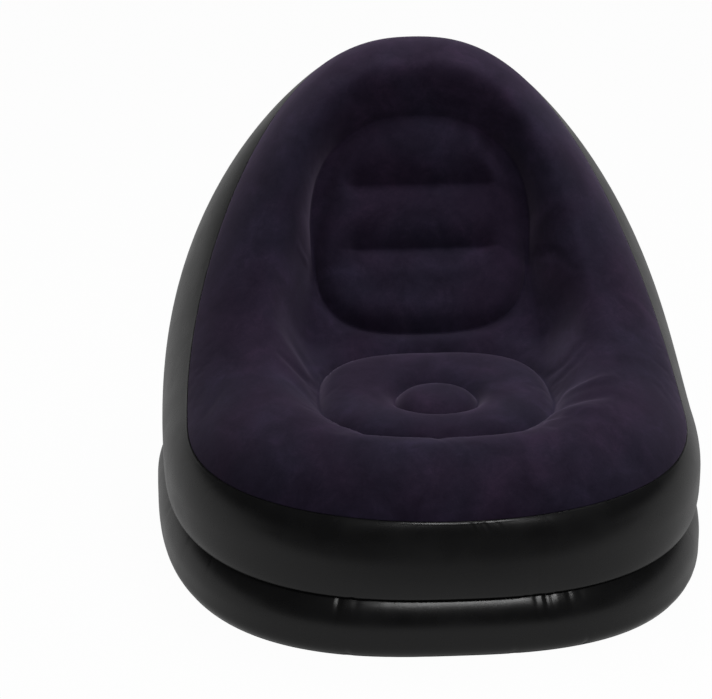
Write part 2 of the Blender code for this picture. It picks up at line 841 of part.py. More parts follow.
def build_stopper(collection, cutters, material, centre):
    seat, head, rim = valve_levels()
    body = neck_bore() - CLEARANCE
    profile = [
        (PORT_RADIUS, rim),
        (RIM_RADIUS, rim),
        (RIM_RADIUS, head),
        (STOPPER_HEAD_RADIUS, head),
        (STOPPER_HEAD_RADIUS, seat),
        (body, seat),
        (body, -NECK_DEPTH),
        (body - STOPPER_TAPER, -STOPPER_DEPTH),
        (PORT_RADIUS, -STOPPER_DEPTH),
    ]
    stopper = turned("valve_stopper", collection, material, profile, centre)
    height = rim + CLEARANCE - head
    size = (STRAP_WIDTH, height + OVERRUN, LUG_LENGTH)
    middle = Vector((0, head + (height - OVERRUN) / 2, CAP_RADIUS + STRAP_LENGTH))
    join_block(stopper, cutters, "strap_lug", size, Vector(centre) + middle)


def build_cap(collection, cutters, material, centre):
    low = valve_levels()[2] + CLEARANCE
    high = low + CAP_SHEET
    plug = PORT_RADIUS - CLEARANCE
    profile = [
        (0, high + CAP_DOME),
        (CAP_RADIUS / 2, high + CAP_DOME),
        (CAP_RADIUS, high),
        (CAP_RADIUS, low),
        (plug, low),
        (plug - PLUG_TAPER, low - PLUG_DEPTH),
        (0, low - PLUG_DEPTH),
    ]
    cap = turned("valve_cap", collection, material, profile, centre, closed=False)

    length = STRAP_LENGTH + OVERRUN
    level = low + CLEARANCE + STRAP_SHEET / 2
    middle = Vector((0, level, CAP_RADIUS - OVERRUN + length / 2))
    join_block(cap, cutters, "cap_strap", (STRAP_WIDTH, STRAP_SHEET, length), Vector(centre) + middle)
    hinge = Vector(centre) + Vector((0, level, CAP_RADIUS + STRAP_LENGTH))
    print("cap hinge", tuple(round(value, 6) for value in hinge))


def build_flap(collection, material, centre):
    top = -STOPPER_DEPTH - CLEARANCE
    low = top - FLAP_SHEET
    profile = [(0, top), (FLAP_RADIUS, top), (FLAP_RADIUS, low), (0, low)]
    turned("valve_flap", collection, material, profile, centre, closed=False)
    hinge = Vector(centre) + Vector((0, top, FLAP_RADIUS))
    print("flap hinge", tuple(round(value, 6) for value in hinge))


def cut_neck_hole(wall, cutters, centre):
    bpy.ops.mesh.primitive_cylinder_add(
        vertices=TURN_STEPS,
        radius=NECK_RADIUS + CLEARANCE,
        depth=NECK_DEPTH,
        location=centre,
        rotation=(-math.pi / 2, 0, 0),
    )
    cutter = bpy.context.object
    cutter.name = "neck_hole"
    cutter.hide_render = True
    cutter.display_type = "WIRE"
    for home in list(cutter.users_collection):
        home.objects.unlink(cutter)
    cutters.objects.link(cutter)
    cut = wall.modifiers.new("Neck hole", "BOOLEAN")
    cut.operation = "DIFFERENCE"
    cut.object = cutter


def main():
    clear_scene()
    chair = new_collection("inflatable_chair")
    cutters = new_collection("cutters", hidden=True)
    flock = new_material("flocked_pvc_aubergine", (0.026, 0.018, 0.036), 0.95, sheen=0.6)
    black = new_material("black_pvc", (0.012, 0.012, 0.013), 0.42)
    inner = new_material("inner_pvc", (0.05, 0.05, 0.055), 0.5)
    moulded = new_material("moulded_black_pvc", (0.02, 0.02, 0.022), 0.38)
    clear = new_material("flap_pvc", (0.35, 0.36, 0.36), 0.3)

    wall, shares = build_wall(chair, black)
    build_ring(chair, black)
    build_diaphragm(chair, inner)
    build_bottom(chair, black)
    build_top(chair, flock)

    tree = BVHTree.FromPolygons(
        [vertex.co.copy() for vertex in wall.data.vertices],
        [tuple(face.vertices) for face in wall.data.polygons],
    )
    build_seat_beams(chair, inner)
    build_back_beams(chair, inner, tree)

    rear = angles()[AROUND // 2]
    low, high = (wall_point(rear, share) for share in (shares[len(LOW_ROW_SHARES)], VALVE_ROW_SHARE))
    centre = (0, (low.y + high.y) / 2, (low.z + high.z) / 2)
    print("valve centre", tuple(round(value, 6) for value in centre))
    cut_neck_hole(wall, cutters, centre)
    build_patch(chair, black, centre)
    build_seat(chair, moulded, centre)
    build_stopper(chair, cutters, moulded, centre)
    build_cap(chair, cutters, moulded, centre)
    build_flap(chair, clear, centre)


main()
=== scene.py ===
import math
from types import SimpleNamespace

import bmesh
import bpy
import numpy as np
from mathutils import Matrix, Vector
from mathutils.geometry import delaunay_2d_cdt


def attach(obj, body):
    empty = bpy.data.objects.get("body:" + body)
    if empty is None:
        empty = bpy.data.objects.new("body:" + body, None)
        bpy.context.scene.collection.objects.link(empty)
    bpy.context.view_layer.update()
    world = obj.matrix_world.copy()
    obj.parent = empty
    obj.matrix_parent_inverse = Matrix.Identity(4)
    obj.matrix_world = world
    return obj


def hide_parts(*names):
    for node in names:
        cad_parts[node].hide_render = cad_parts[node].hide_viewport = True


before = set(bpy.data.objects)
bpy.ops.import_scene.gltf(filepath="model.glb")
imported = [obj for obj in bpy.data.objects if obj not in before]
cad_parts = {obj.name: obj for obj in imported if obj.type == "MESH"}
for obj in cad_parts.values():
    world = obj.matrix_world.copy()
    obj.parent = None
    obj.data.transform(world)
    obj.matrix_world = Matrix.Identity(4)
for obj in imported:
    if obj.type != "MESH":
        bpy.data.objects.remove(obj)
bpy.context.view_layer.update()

# Gauges of the sheets and of their welds, in metres
sheets = {
    "pvc": 0.0005,
    "flocked": 0.0008,
    "gap": 0.0003,
    "weld": 0.008,
}


# Camera at the photograph's viewing angle

view = {
    "azimuth": -4.04,
    "elevation": 21.45,
    "distance": 4.92,
    "target": (-0.1274, 0.0, 0.3339),
    "focalPixels": 2734.1,
    "imageWidth": 712,
    "sensor": 36.0,
}


def addAimed(name, data, place, aim):
    # a camera or a lamp that looks in the direction of aim
    item = bpy.data.objects.new(name, data)
    bpy.context.scene.collection.objects.link(item)
    item.location = place
    item.rotation_euler = aim.to_track_quat("-Z", "Y").to_euler()
    return item


def makeCamera():
    data = bpy.data.cameras.new("camera")
    data.sensor_width = view["sensor"]
    data.lens = view["focalPixels"] * view["sensor"] / view["imageWidth"]
    turn = math.radians(view["azimuth"])
    rise = math.radians(view["elevation"])
    back = Vector((math.sin(turn) * math.cos(rise), -math.cos(turn) * math.cos(rise), math.sin(rise)))
    place = Vector(view["target"]) + back * view["distance"]
    bpy.context.scene.camera = addAimed("camera", data, place, -back)


makeCamera()
print("camera ready")


# Nodes and colours

def linear(hexColour):
    # sRGB hex to linear light
    parts = [int(hexColour[place : place + 2], 16) / 255 for place in (1, 3, 5)]
    light = [part / 12.92 if part <= 0.04045 else ((part + 0.055) / 1.055) ** 2.4 for part in parts]
    return light + [1.0]


def addNode(tree, kind, settings=None, links=None, stops=()):
    # settings go to the node's own values or to its sockets, links to its sockets, and stops,
    # which are pairs of a place and a hex colour, to a colour ramp
    node = tree.nodes.new(kind)
    for name, value in (settings or {}).items():
        if isinstance(name, str) and hasattr(node, name):
            setattr(node, name, value)
        else:
            node.inputs[name].default_value = value
    for name, source in (links or {}).items():
        tree.links.new(source, node.inputs[name])
    for index, (place, colour) in enumerate(stops):
        stop = node.color_ramp.elements[index] if index < 2 else node.color_ramp.elements.new(place)
        stop.position = place
        stop.color = linear(colour)
    return node.outputs


def newMaterial(name, shaderValues):
    material = bpy.data.materials.new(name)
    material.use_nodes = True
    tree = material.node_tree
    shader = tree.nodes["Principled BSDF"]
    for socket, value in shaderValues.items():
        shader.inputs[socket].default_value = value
    return material, tree, shader


millimetre = 0.001


# Nylon flock on PVC sheet: short upright fibres glued to the film. It gives a dull, deep colour,
# paler where the eye runs along the pile, with clouds where a hand has turned the nap and a dye
# that wanders a little between a bluer and a redder violet.
flock = {
    "blue": ("#1e1a2a", "#272234", "#322b41"),  # deep, middle and turned nap
    "red": ("#21182a", "#2a2033", "#36283e"),
    "shades": (0.36, 0.52, 0.68),  # where the three lie in the noise
    "dye": 170 * millimetre,
    "dyeTurn": (0.38, 0.62),  # the noise from all blue to all red
    "cloud": 70 * millimetre,
    "stroke": 16 * millimetre,
    "pile": 2.6 * millimetre,  # the real pile is 0.5 mm, drawn coarser so that it shows
    "shares": {"cloud": 0.62, "stroke": 0.26, "pile": 0.12},
    "textures": {  # detail, roughness and distortion
        "cloud": (4.0, 0.55, 0.6),
        "stroke": (3.0, 0.6, 1.2),
        "pile": (2.0, 0.5, 0.0),
        "dye": (3.0, 0.5, 0.0),
    },
    "bump": 0.22,
    "pileHeight": 0.6 * millimetre,
    "sheen": "#b9a8c8",
}


def flockedPvc():
    values = {
        "Roughness": 0.92,
        "IOR": 1.53,
        "Specular IOR Level": 0.12,
        "Sheen Weight": 0.32,
        "Sheen Roughness": 0.45,
        "Sheen Tint": linear(flock["sheen"]),
    }
    material, tree, shader = newMaterial("nylonFlock", values)
    place = addNode(tree, "ShaderNodeTexCoord")["Object"]
    noises = {}
    for name, (detail, roughness, distortion) in flock["textures"].items():
        settings = {"Scale": 1 / flock[name], "Detail": detail, "Roughness": roughness}
        settings["Distortion"] = distortion
        noises[name] = addNode(tree, "ShaderNodeTexNoise", settings, {"Vector": place})[0]
    nap = None
    for name, share in flock["shares"].items():
        links = {0: noises[name], 2: nap} if nap else {0: noises[name]}
        nap = addNode(tree, "ShaderNodeMath", {"operation": "MULTIPLY_ADD", 1: share, 2: 0}, links)[0]
    blue, red = (
        addNode(tree, "ShaderNodeValToRGB", None, {0: nap}, zip(flock["shades"], flock[name]))[0]
        for name in ("blue", "red")
    )
    low, high = flock["dyeTurn"]
    redness = addNode(tree, "ShaderNodeMapRange", {1: low, 2: high}, {0: noises["dye"]})[0]
    colour = addNode(tree, "ShaderNodeMix", {"data_type": "RGBA"}, {0: redness, 6: blue, 7: red})[2]
    tree.links.new(colour, shader.inputs["Base Color"])
    settings = {"Strength": flock["bump"], "Distance": flock["pileHeight"]}
    bump = addNode(tree, "ShaderNodeBump", settings, {"Height": noises["pile"]})[0]
    tree.links.new(bump, shader.inputs["Normal"])
    return material


def pvcFinish(name, form):
    # one noise runs between two shades; a form may also have uneven gloss and a fine relief
    material, tree, shader = newMaterial(name, form["shader"])
    place = addNode(tree, "ShaderNodeTexCoord")["Object"]
    settings = {"Scale": 1 / form["haze"], "Detail": form["detail"]}
    haze = addNode(tree, "ShaderNodeTexNoise", settings, {"Vector": place})[0]
    colour = addNode(tree, "ShaderNodeValToRGB", None, {0: haze}, form["shades"])[0]
    tree.links.new(colour, shader.inputs["Base Color"])
    if "gloss" in form:
        limits = dict(enumerate(form["gloss"], 1))
        gloss = addNode(tree, "ShaderNodeMapRange", limits, {0: haze})[0]
        tree.links.new(gloss, shader.inputs["Roughness"])
    if "relief" in form:
        relief = form["relief"]
        settings = {"Scale": 1 / relief["size"], "Detail": relief["detail"]}
        noise = addNode(tree, "ShaderNodeTexNoise", settings, {"Vector": place})[0]
        settings = {"Strength": relief["strength"], "Distance": relief["height"]}
        bump = addNode(tree, "ShaderNodeBump", settings, {"Height": noise})[0]
        tree.links.new(bump, shader.inputs["Normal"])
    return material


# Calendered plasticised PVC film: rolled smooth, so it gives broad soft highlights with a faint
# orange peel, and mirrors pale surroundings where the eye grazes it.
film = {
    "shader": {"IOR": 1.53, "Specular IOR Level": 0.5},
    "shades": ((0.35, "#151516"), (0.7, "#1a1a1b")),
    "haze": 55 * millimetre,
    "detail": 4.0,
    "gloss": (0.3, 0.7, 0.24, 0.31),  # two levels of the haze, and the roughness at each
    "relief": {"size": 3.2 * millimetre, "detail": 1.0, "strength": 0.05, "height": 0.5 * millimetre},
}


# Outlines

outline = {"powerBlend": 0.25, "samples": 20000, "loopSamples": 4000, "tableSamples": 2881}

baseForm = {
    "halfWidth": 0.49,
    "front": -0.575,
    "rear": 0.50,
    "widest": 0.09,
    "frontPower": 2.8,
    "rearPower": 2.35,
    "bottomInset": 0.035,
    "waistHeight": 0.110,
    "waistInset": 0.022,
}

seamForm = {
    "halfWidth": 0.435,
    "front": -0.56,
    "rear": 0.338,
    "widest": -0.198,
    "frontPower": 2.05,
    "rearPower": 2.43,
    "low": 0.248,
    "high": 0.82,
    "risePower": 3.15,
}


def signedPower(values, power):
    return np.sign(values) * np.abs(values) ** power


def egg(angle, halfWidth, frontReach, rearReach, frontPower, rearPower):
    # angle 0 is the front and a quarter turn is +X
    forward = np.cos(angle)
    share = (1 + np.tanh(forward / outline["powerBlend"])) / 2
    power = rearPower + (frontPower - rearPower) * share
    reach = np.where(forward > 0, frontReach, rearReach)
    across = halfWidth * signedPower(np.sin(angle), 2 / power)
    return across, -reach * signedPower(forward, 2 / power)


def outlinePoints(angle, form, inset=0):
    # an outline from its named sizes, drawn in by the inset
    front = form["widest"] - form["front"] - inset
    rear = form["rear"] - form["widest"] - inset
    across, run = egg(angle, form["halfWidth"] - inset, front, rear, form["frontPower"], form["rearPower"])
    return across, form["widest"] + run


def blendRound(angle, front, side, rear):
    share = np.cos(angle) ** 2
    end = np.where(np.cos(angle) > 0, front, rear)
    return side + (end - side) * share


def smoothStep(values):
    values = np.clip(values, 0, 1)
    return values * values * (3 - 2 * values)


def lengths(vectors):
    return np.linalg.norm(vectors, axis=-1)


def unit(vectors):
    return vectors / lengths(vectors)[..., None]


def seamPoints(angle):
    form = seamForm
    across, y = outlinePoints(angle, form)
    share = np.clip((y - form["front"]) / (form["rear"] - form["front"]), 0, 1)
    z = form["low"] + (form["high"] - form["low"]) * share ** form["risePower"]
    return np.stack([across, y, z], -1)


def basePoints(angle, inset, height):
    across, y = outlinePoints(angle, baseForm, inset)
    return np.stack([across, y, across * 0 + height], -1)


def evenAngles(count):
    # angles whose points lie evenly along the seam and the base together
    angle = np.linspace(0, 2 * np.pi, outline["samples"] + 1)
    length = 0
    for points in (seamPoints(angle), basePoints(angle, 0, 0)):
        steps = lengths(np.diff(points, axis=0))
        length = length + np.concatenate([[0], np.cumsum(steps)]) / steps.sum()
    places = (np.arange(count) + 0.5) / count * length[-1]
    return np.interp(places, length, angle)


# The plane through the front and rear of the seam, over which the flocked top is measured

seamRun = seamForm["rear"] - seamForm["front"]
seamClimb = seamForm["high"] - seamForm["low"]
seamLength = math.hypot(seamRun, seamClimb)
seamAlong = np.array([0, seamRun, seamClimb]) / seamLength
seamNormal = np.array([0, -seamClimb, seamRun]) / seamLength
seamStart = np.array([0, seamForm["front"], seamForm["low"]])


def planePlace(points):
    offset = points - seamStart
    return points[..., 0], offset @ seamAlong, offset @ seamNormal


def fromPlane(across, along, height):
    sideways = np.stack([across, across * 0, across * 0], -1)
    return seamStart + sideways + along[..., None] * seamAlong + height[..., None] * seamNormal


# Flocked top

topForm = {
    "centreShare": 0.42,
    "crestFront": 0.030,
    "crestSide": 0.075,
    "crestRear": 0.051,
    "crestFrontShare": 0.26,
    "crestSideShare": 0.30,
    "crestRearShare": 0.14,
    "crestPower": 2.3,
    "floorFrontShare": 0.42,
    "floorRearShare": 0.26,
    "floorFrontReach": 0.27,
    "floorRearReach": 0.47,
    "floorHalfWidth": 0.205,
    "floorPower": 2.7,
    "narrowShare": 0.04,
    "grooveDepth": 0.012,
    "grooveReach": 0.048,
    "seatCrown": 0.012,
    "backCrown": 0.014,
    "shoulderCrown": 0.004,
    "ribDepth": 0.006,
    "ribPower": 2.2,
    "ribFade": 0.040,
    "ribPast": 0.010,
    "pillowPower": 3.0,  # the blown-up sheet stands steeper beside a weld than its plain solid
    "weldHalfWidth": 0.0014,
    # the flat net that the top is lifted from
    "rimPoints": 420,
    "spacing": 0.006,
    "clearShare": 0.6,  # of the spacing, between the rows beside a weld and the square grid
    "seamRows": (0.0025, 0.006, 0.011),
    "grooveRows": (0.0014, 0.0045, 0.0090),
    "ribRows": 2,
    "weldRows": 1,  # rows on each side of a weld that the air does not move
    "merge": 1e-6,
    "joinAngle": math.radians(50),
    # the folds' curves
    "foldKnots": 24,
    "foldEnd": 0.04,
    "foldPower": 0.7,
}

# Folds that the pull of the seat's loop leaves in the arms: line over the seam's plane, width, height
folds = (
    (((0.195, 0.300), (0.245, 0.262), (0.300, 0.290)), 0.014, -0.0070),
    (((0.212, 0.338), (0.250, 0.306), (0.318, 0.352)), 0.011, 0.0055),
    (((0.176, 0.266), (0.215, 0.215), (0.290, 0.245)), 0.018, 0.0055),
    (((0.262, 0.170), (0.294, 0.140), (0.312, 0.108)), 0.030, -0.0050),
    (((-0.272, 0.510), (-0.252, 0.450), (-0.212, 0.392)), 0.009, 0.0030),
    (((-0.252, 0.520), (-0.226, 0.455), (-0.204, 0.405)), 0.008, -0.0030),
    (((-0.300, 0.470), (-0.262, 0.405), (-0.212, 0.350)), 0.012, 0.0030),
    # these two lift the sheet over the straight head of the strip inside the backrest
    (((-0.196, 0.666), (-0.204, 0.704), (-0.201, 0.742)), 0.030, 0.0034),
    (((0.196, 0.666), (0.204, 0.704), (0.201, 0.742)), 0.030, 0.0034),
)

# Middle line of seat and backrest, in shares of the distance from the front seam to the rear seam
floorLineShares = (
    (0.0, 0.060),
    (0.109, 0.014),
    (0.137, -0.014),
    (0.177, -0.045),
    (0.231, -0.074),
    (0.326, -0.134),
    (0.421, -0.187),
    (0.475, -0.216),
    (0.510, -0.223),
    (0.563, -0.209),
    (0.662, -0.164),
    (0.756, -0.103),
    (0.799, -0.066),
    (0.841, -0.023),
    (0.883, 0.012),
    (0.917, 0.030),
    (1.0, 0.040),
)

# Weld lines over the seam's plane. A loop is widest at its place, with a reach and a power to the
# front of it and to the rear.
weldLines = {
    "seat": {
        "place": 0.362,
        "halfWidth": 0.204,
        "reaches": (0.158, 0.158),
        "powers": (2.2, 2.8),
        "points": 230,
    },
    "hollow": {
        "place": 0.352,
        "halfWidth": 0.073,
        "reaches": (0.058, 0.058),
        "powers": (2, 2),
        "points": 90,
    },
    "back": {
        "place": 0.6942,
        "halfWidth": 0.194,
        "reaches": (0.1332, 0.1998),
        "powers": (2.8, 2.6),
        "points": 240,
    },
    "ribs": {"halfLength": 0.138, "places": (0.705, 0.803), "points": 56},
}

centre = seamLength * topForm["centreShare"]


def curveValues(points, places):
    # a smooth curve through points, as in the solids
    knots = np.array([point[0] for point in points])
    levels = np.array([point[1] for point in points])
    before = np.maximum(np.arange(len(knots)) - 1, 0)
    after = np.minimum(np.arange(len(knots)) + 1, len(knots) - 1)
    slopes = (levels[after] - levels[before]) / (knots[after] - knots[before])
    places = np.clip(places, knots[0], knots[-1])
    index = np.clip(np.searchsorted(knots, places, side="right") - 1, 0, len(knots) - 2)
    span = knots[index + 1] - knots[index]
    share = (places - knots[index]) / span
    square, cube = share**2, share**3
    return (
        (2 * cube - 3 * square + 1) * levels[index]
        + (cube - 2 * square + share) * span * slopes[index]
        + (3 * square - 2 * cube) * levels[index + 1]
        + (cube - square) * span * slopes[index + 1]
    )


def seamTable():
    angle = np.linspace(-np.pi, np.pi, outline["tableSamples"])
    across, along, height = planePlace(seamPoints(angle))
    bearing = np.unwrap(np.arctan2(across, centre - along))
    order = np.argsort(bearing)
    return bearing[order], np.hypot(across, along - centre)[order], height[order], angle[order]


seamRows = seamTable()


def edgeHeight(inward, edge, crest):
    return crest * (1 - (1 - np.minimum(1, inward / edge)) ** topForm["crestPower"])


def middleHeight(along):
    form = topForm
    ahead = along < centre
    reach = np.where(ahead, centre, seamLength - centre)
    crest = np.where(ahead, form["crestFront"], form["crestRear"])
    edge = np.where(ahead, form["crestFrontShare"], form["crestRearShare"])
    flat = np.where(ahead, form["floorFrontShare"], form["floorRearShare"])
    inward = np.maximum(0, 1 - np.abs(along - centre) / reach)
    high = edgeHeight(inward, edge, crest)
    floor = curveValues(floorLineShares, along / seamLength) * seamLength
    return high + (floor - high) * smoothStep((inward - edge) / (flat - edge))


def floorReach(bearing):
    form = topForm
    length = np.where(np.cos(bearing) > 0, form["floorFrontReach"], form["floorRearReach"])
    across = np.abs(np.sin(bearing) / form["floorHalfWidth"]) ** form["floorPower"]
    along = np.abs(np.cos(bearing) / length) ** form["floorPower"]
    return (across + along) ** (-1 / form["floorPower"])


def baseHeight(across, along):
    form = topForm
    bearing = np.arctan2(across, centre - along)
    reach = np.interp(bearing, seamRows[0], seamRows[1])
    seamHeight = np.interp(bearing, seamRows[0], seamRows[2])
    angle = np.interp(bearing, seamRows[0], seamRows[3])
    inward = np.maximum(0, 1 - np.hypot(across, along - centre) / reach)
    crest = blendRound(angle, form["crestFront"], form["crestSide"], form["crestRear"])
    edge = blendRound(angle, form["crestFrontShare"], form["crestSideShare"], form["crestRearShare"])
    flat = 1 - floorReach(bearing) / reach
    high = seamHeight + edgeHeight(inward, edge, crest)
    share = smoothStep((inward - edge) / np.maximum(flat - edge, form["narrowShare"]))
    return high + (middleHeight(along) - high) * share


def baseNormals(across, along, step=0.002):
    riseAcross = (baseHeight(across + step, along) - baseHeight(across - step, along)) / (2 * step)
    riseAlong = (baseHeight(across, along + step) - baseHeight(across, along - step)) / (2 * step)
    sideways = np.stack([riseAcross, riseAcross * 0, riseAcross * 0], -1)
    return unit(seamNormal - sideways - riseAlong[..., None] * seamAlong)


def evenLoop(points, count, closed=True):
    # the same line with its points evenly spaced
    if closed:
        points = np.concatenate([points, points[:1]])
    length = np.concatenate([[0], np.cumsum(lengths(np.diff(points, axis=0)))])
    places = np.arange(count) / (count if closed else count - 1) * length[-1]
    return np.stack([np.interp(places, length, points[:, axis]) for axis in range(points.shape[1])], -1)


def weldLoop(form):
    angle = np.linspace(0, 2 * np.pi, outline["loopSamples"], endpoint=False)
    across, run = egg(angle, form["halfWidth"], *form["reaches"], *form["powers"])
    return evenLoop(np.stack([across, form["place"] + run], -1), form["points"])


def weldRib(place, halfLength, count):
    across = np.linspace(-halfLength, halfLength, count)
    return np.stack([across, across * 0 + place], -1)


loops = {name: weldLoop(weldLines[name]) for name in ("seat", "hollow", "back")}
ribForm = weldLines["ribs"]
ribs = [weldRib(place, ribForm["halfLength"], ribForm["points"]) for place in ribForm["places"]]


def lineDistance(points, line, closed=True):
    starts = line if closed else line[:-1]
    ends = np.roll(line, -1, axis=0) if closed else line[1:]
    nearest = np.full(len(points), np.inf)
    for start, end in zip(starts, ends):
        run = end - start
        offset = points - start
        share = np.clip((offset @ run) / (run @ run), 0, 1)
        nearest = np.minimum(nearest, lengths(offset - share[:, None] * run))
    return nearest


def insideLoop(points, loop):
    crossings = np.zeros(len(points), int)
    for start, end in zip(loop, np.roll(loop, -1, axis=0)):
        spans = (start[1] > points[:, 1]) != (end[1] > points[:, 1])
        if start[1] == end[1]:
            continue
        share = (points[:, 1] - start[1]) / (end[1] - start[1])
        crossings += spans & (start[0] + (end[0] - start[0]) * share > points[:, 0])
    return crossings % 2 == 1


def pillowSide(gap, depth, crown, power=topForm["pillowPower"]):
    gap = np.maximum(0, gap - topForm["weldHalfWidth"])
    rise = 1 - (1 - np.minimum(1, gap / topForm["grooveReach"])) ** power
    return (depth + crown) * rise - depth


def foldHeight(points):
    # a ridge or valley along each fold's curve, which dies out at both ends
    knots, least = topForm["foldKnots"], topForm["foldEnd"]
    height = np.zeros(len(points))
    for line, width, rise in folds:
        start, middle, end = (np.array(knot) for knot in line)
        share = np.linspace(0, 1, knots + 1)[:, None]
        curve = start * (1 - share) ** 2 + 2 * middle * share * (1 - share) + end * share**2
        gaps = lengths(points[:, None, :] - curve[None, :, :])
        along = np.clip(np.argmin(gaps, axis=1) / knots, least, 1 - least)
        taper = np.sin(np.pi * along) ** topForm["foldPower"]
        height += rise * taper * np.exp(-((gaps.min(axis=1) / width) ** 2))
    return height


def pillowHeight(points):
    form = topForm
    gap = np.min([lineDistance(points, loop) for loop in loops.values()], axis=0)
    ribGap = np.min([lineDistance(points, rib, closed=False) for rib in ribs], axis=0)
    fade = 1 - smoothStep(gap / form["grooveReach"] - 1)
    height = pillowSide(gap, form["grooveDepth"], form["shoulderCrown"] * fade)
    inSeat = insideLoop(points, loops["seat"])
    height = np.where(inSeat, pillowSide(gap, form["grooveDepth"], form["seatCrown"]), height)
    ribEnd = ribForm["halfLength"] + form["ribPast"]
    taper = smoothStep((ribEnd - np.abs(points[:, 0])) / form["ribFade"])
    ribSide = pillowSide(ribGap, form["ribDepth"], form["backCrown"], form["ribPower"])
    ribSide = form["backCrown"] + (ribSide - form["backCrown"]) * taper
    backSide = pillowSide(gap, form["grooveDepth"], form["backCrown"])
    return np.where(insideLoop(points, loops["back"]), np.minimum(ribSide, backSide), height)


def topPoints(places):
    across, along = places[:, 0], places[:, 1]
    points = fromPlane(across, along, baseHeight(across, along))
    proud = pillowHeight(places) + foldHeight(places)
    return points + baseNormals(across, along) * proud[:, None]


def offsetLoop(loop, distance):
    # a line beside a closed line, outward for a positive distance
    run = np.roll(loop, -1, axis=0) - np.roll(loop, 1, axis=0)
    side = unit(np.stack([run[:, 1], -run[:, 0]], -1))
    outward = np.sign(np.sum(side * (loop - loop.mean(0))))
    return loop + side * outward * distance


def addMesh(name, points, faces, material):
    mesh = bpy.data.meshes.new(name)
    mesh.from_pydata(np.asarray(points).tolist(), [], faces)
    mesh.materials.append(material)
    mesh.shade_smooth()
    piece = bpy.data.objects.new(name, mesh)
    bpy.context.scene.collection.objects.link(piece)
    return piece


def applyModifiers(piece):
    # the evaluated mesh becomes the piece's own mesh
    graph = bpy.context.evaluated_depsgraph_get()
    mesh = bpy.data.meshes.new_from_object(piece.evaluated_get(graph))
    old = piece.data
    piece.modifiers.clear()
    piece.data = mesh
    bpy.data.meshes.remove(old)


def besideRows(count):
    # distances from a weld line of the rows on both sides of it
    rows = topForm["grooveRows"][:count]
    return [0.0, *rows, *(-row for row in rows)]


def topNet():
    # the flat net of the top: rows beside every weld line, a square grid between them
    rim = seamPoints(evenAngles(topForm["rimPoints"])) + seamNormal * sheets["gap"] / 2
    across, along, _ = planePlace(rim)
    rimLoop = np.stack([across, along], -1)
    chains = [(rimLoop, True, True)]
    chains += [(offsetLoop(rimLoop, -depth), True, False) for depth in topForm["seamRows"]]
    still = besideRows(topForm["weldRows"])
    for loop in loops.values():
        chains += [(offsetLoop(loop, side), True, side in still) for side in besideRows(None)]
    for rib in ribs:
        chains += [(rib + [0, side], False, side in still) for side in besideRows(topForm["ribRows"])]
    step = topForm["spacing"]
    columns = np.arange(-seamForm["halfWidth"], seamForm["halfWidth"], step) + step / 4
    rows = np.arange(0, seamLength, step)
    grid = np.stack(np.meshgrid(columns, rows), -1).reshape(-1, 2)
    space = step * topForm["clearShare"]
    clear = insideLoop(grid, offsetLoop(rimLoop, -topForm["seamRows"][-1] - space))
    for loop in loops.values():
        clear &= lineDistance(grid, loop) > topForm["grooveRows"][-1] + space
    outermost = topForm["grooveRows"][topForm["ribRows"] - 1]
    for rib in ribs:
        clear &= lineDistance(grid, rib, closed=False) > outermost + space
    places, edges = [], []
    held = set(range(len(rim)))
    for chain, closed, weld in chains:
        first, count = len(places), len(chain)
        places += chain.tolist()
        if weld:
            held |= set(range(first, first + count))
        last = count if closed else count - 1
        edges += [(first + knot, first + (knot + 1) % count) for knot in range(last)]
    places += grid[clear].tolist()
    places = [Vector(place) for place in places]
    found, _, faces, origins, _, _ = delaunay_2d_cdt(places, edges, [], 1, topForm["merge"])
    flat = np.array([tuple(place) for place in found])
    rimIndex = {}
    pinned = []
    for index, origin in enumerate(origins):
        for source in origin:
            if source < len(rim):
                rimIndex[source] = index
        if held.intersection(origin):
            pinned.append(index)
    return flat, [tuple(face) for face in faces], rim, rimIndex, pinned


def joinTriangles(piece):
    # most pairs of triangles become squares, which subdivide evenly
    work = bmesh.new()
    work.from_mesh(piece.data)
    bmesh.ops.join_triangles(
        work,
        faces=work.faces,
        angle_face_threshold=topForm["joinAngle"],
        angle_shape_threshold=topForm["joinAngle"],
    )
    work.to_mesh(piece.data)
    work.free()


# Air pressure on a sheet that its welds hold
air = {
    "pressure": 4.0,
    "frames": 20,
    "quality": 6,
    "mass": 0.3,
    "stretch": 20,
    "shear": 8,
    "bend": 1.0,
    "spare": 0.0015,  # share of its length that the sheet of the seat and arms is too long by
    "taut": (0.40, 0.55),  # along the seam's plane, where the spare sheet begins and ends to give out
    "cap": 0.006,
    "backShare": 0.8,  # by which the backrest moves less than the cap
}


